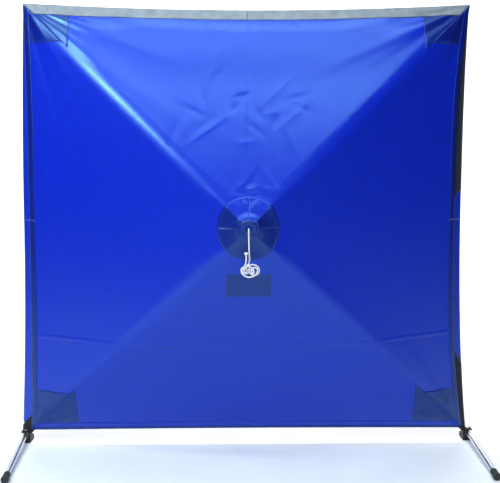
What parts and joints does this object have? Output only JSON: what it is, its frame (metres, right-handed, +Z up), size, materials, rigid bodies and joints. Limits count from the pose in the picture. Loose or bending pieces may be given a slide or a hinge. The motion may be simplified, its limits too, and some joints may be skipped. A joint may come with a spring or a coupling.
{
  "type": "welding curtain screen",
  "caption": "Pop-up welding screen: a square panel of blue coated cloth pushed forward by a folding hub and rods, with reflective top tape, a pull cord and swinging front legs.",
  "frame": {"origin": "on the floor, at the middle of the footprint of the standing screen without its pull cord", "axes": "+X to the right seen from the front, -Y out of the bulging front, +Z up"},
  "size_m": [2.0962, 0.4796, 2.0031],
  "materials": {
    "coated_cloth_blue": "glossy PVC-coated woven polyester",
    "reflective_tape": "satin silver-grey retroreflective tape",
    "hem_cloth_dark": "satin folded hem",
    "flap_cloth_blue": "satin coated cloth",
    "nylon_black": "moulded, fine texture",
    "nylon_blue": "moulded, satin",
    "zinc_plated_steel": "zinc plated",
    "fibreglass_grey": "pultruded, satin",
    "webbing_black": "woven webbing",
    "aluminium_tube": "drawn, bright satin",
    "rubber_black": "matt moulded",
    "cord_white": "white braid"
  },
  "bodies": {
    "hub": {"hub_body": "nylon_black", "hub_front_plate": "nylon_black", "cloth_centre": "coated_cloth_blue", "hub_eyelet": "nylon_blue", "hub_bolt": "nylon_blue", "hub_nut": "zinc_plated_steel", "cord_stop_knot": "cord_white", "pull_cord": "cord_white", "pull_cord_hank": "cord_white", "hinge_pin_upper_left": "zinc_plated_steel", "hinge_pin_upper_right": "zinc_plated_steel", "hinge_pin_lower_left": "zinc_plated_steel", "hinge_pin_lower_right": "zinc_plated_steel"},
    "rod_upper_left": {"knuckle_upper_left": "nylon_black", "rod_upper_left": "fibreglass_grey", "tip_cap_upper_left": "nylon_black", "corner_pocket_upper_left": "webbing_black", "cloth_top_left": "coated_cloth_blue", "cloth_left_upper": "coated_cloth_blue", "side_flap_upper_left": "flap_cloth_blue", "reflective_tape_left": "reflective_tape"},
    "rod_upper_right": {"knuckle_upper_right": "nylon_black", "rod_upper_right": "fibreglass_grey", "tip_cap_upper_right": "nylon_black", "corner_pocket_upper_right": "webbing_black", "cloth_top_right": "coated_cloth_blue", "cloth_right_upper": "coated_cloth_blue", "side_flap_upper_right": "flap_cloth_blue", "reflective_tape_right": "reflective_tape"},
    "rod_lower_left": {"knuckle_lower_left": "nylon_black", "rod_lower_left": "fibreglass_grey", "tip_cap_lower_left": "nylon_black", "corner_pocket_lower_left": "webbing_black", "cloth_bottom_left": "coated_cloth_blue", "cloth_left_lower": "coated_cloth_blue", "side_flap_lower_left": "flap_cloth_blue", "bottom_hem_left": "hem_cloth_dark"},
    "rod_lower_right": {"knuckle_lower_right": "nylon_black", "rod_lower_right": "fibreglass_grey", "tip_cap_lower_right": "nylon_black", "corner_pocket_lower_right": "webbing_black", "cloth_bottom_right": "coated_cloth_blue", "cloth_right_lower": "coated_cloth_blue", "side_flap_lower_right": "flap_cloth_blue", "bottom_hem_right": "hem_cloth_dark"},
    "foot_left": {"foot_bracket_left": "nylon_black", "bracket_pin_left": "zinc_plated_steel", "swivel_bolt_left": "zinc_plated_steel"},
    "leg_left": {"leg_tube_left": "aluminium_tube", "leg_tip_left": "rubber_black"},
    "foot_right": {"foot_bracket_right": "nylon_black", "bracket_pin_right": "zinc_plated_steel", "swivel_bolt_right": "zinc_plated_steel"},
    "leg_right": {"leg_tube_right": "aluminium_tube", "leg_tip_right": "rubber_black"}
  },
  "joints": [
    {"name": "fold_upper_left", "type": "hinge", "parent": "hub", "child": "rod_upper_left", "pos_m": [-0.03229, -0.19148, 1.06384], "axis": [0.6964, 0, 0.7176], "range_deg": [0, 101], "deforming": ["cloth_top_left", "cloth_left_upper", "side_flap_upper_left", "reflective_tape_left"]},
    {"name": "fold_upper_right", "type": "hinge", "parent": "hub", "child": "rod_upper_right", "pos_m": [0.03229, -0.19148, 1.06384], "axis": [0.6964, 0, -0.7176], "range_deg": [0, 101], "deforming": ["cloth_top_right", "cloth_right_upper", "side_flap_upper_right", "reflective_tape_right"]},
    {"name": "fold_lower_left", "type": "hinge", "parent": "hub", "child": "rod_lower_left", "pos_m": [-0.03229, -0.19148, 1.00116], "axis": [-0.6964, 0, 0.7176], "range_deg": [0, 101], "deforming": ["cloth_bottom_left", "cloth_left_lower", "side_flap_lower_left", "bottom_hem_left"]},
    {"name": "fold_lower_right", "type": "hinge", "parent": "hub", "child": "rod_lower_right", "pos_m": [0.03229, -0.19148, 1.00116], "axis": [-0.6964, 0, -0.7176], "range_deg": [0, 101], "deforming": ["cloth_bottom_right", "cloth_right_lower", "side_flap_lower_right", "bottom_hem_right"]},
    {"name": "foot_turn_left", "type": "hinge", "parent": "rod_lower_left", "child": "foot_left", "pos_m": [-0.99713, 0.19446, 0.06479], "axis": [-0.6964, 0, 0.7176], "range_deg": [-101, 0]},
    {"name": "leg_swing_left", "type": "hinge", "parent": "foot_left", "child": "leg_left", "pos_m": [-1.03113, 0.19446, 0.03475], "axis": [0, 0, -1], "range_deg": [0, 180]},
    {"name": "foot_turn_right", "type": "hinge", "parent": "rod_lower_right", "child": "foot_right", "pos_m": [0.99713, 0.19446, 0.06479], "axis": [-0.6964, 0, -0.7176], "range_deg": [-101, 0]},
    {"name": "leg_swing_right", "type": "hinge", "parent": "foot_right", "child": "leg_right", "pos_m": [1.03113, 0.19446, 0.03475], "axis": [0, 0, 1], "range_deg": [0, 180]}
  ],
  "couplings": [
    {"joint": "fold_upper_left", "follows": "fold_lower_right", "ratio": 1},
    {"joint": "fold_upper_right", "follows": "fold_lower_right", "ratio": 1},
    {"joint": "fold_lower_left", "follows": "fold_lower_right", "ratio": 1},
    {"joint": "foot_turn_left", "follows": "fold_lower_right", "ratio": -1},
    {"joint": "foot_turn_right", "follows": "fold_lower_right", "ratio": -1}
  ]
}
